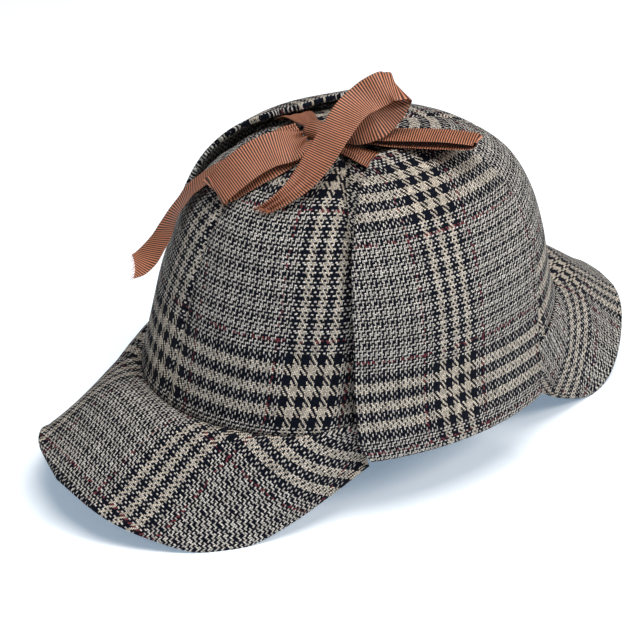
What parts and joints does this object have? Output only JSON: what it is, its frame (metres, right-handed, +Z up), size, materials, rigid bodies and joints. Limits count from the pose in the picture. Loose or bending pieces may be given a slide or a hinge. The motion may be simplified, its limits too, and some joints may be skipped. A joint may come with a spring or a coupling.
{
  "type": "deerstalker hat",
  "caption": "Soft tweed hat with a six-panel crown, a peak in front and behind, and ear flaps folded up and tied over the top with a ribbon bow.",
  "frame": {"origin": "on the surface the hat rests on, under the middle of its cloth (the ribbon left out)", "axes": "+Z up; the wearer faces -Y, so the front peak points to -Y and the back peak to +Y; the wearer's left is +X"},
  "size_m": [0.1963, 0.3394, 0.1934],
  "materials": {
    "tweed": "wool tweed in a navy and beige check",
    "ribbon": "ribbed grosgrain ribbon, rust brown"
  },
  "bodies": {
    "root": {"crown_front_left": "tweed", "crown_side_left": "tweed", "crown_back_left": "tweed", "crown_back_right": "tweed", "crown_side_right": "tweed", "crown_front_right": "tweed", "front_peak": "tweed", "back_peak": "tweed", "left_ear_flap": "tweed", "right_ear_flap": "tweed", "bow_knot": "ribbon", "tie_left": "ribbon", "tie_right": "ribbon", "bow_loop_front": "ribbon", "bow_loop_back": "ribbon", "bow_tail_front": "ribbon", "bow_tail_top": "ribbon"}
  },
  "joints": []
}
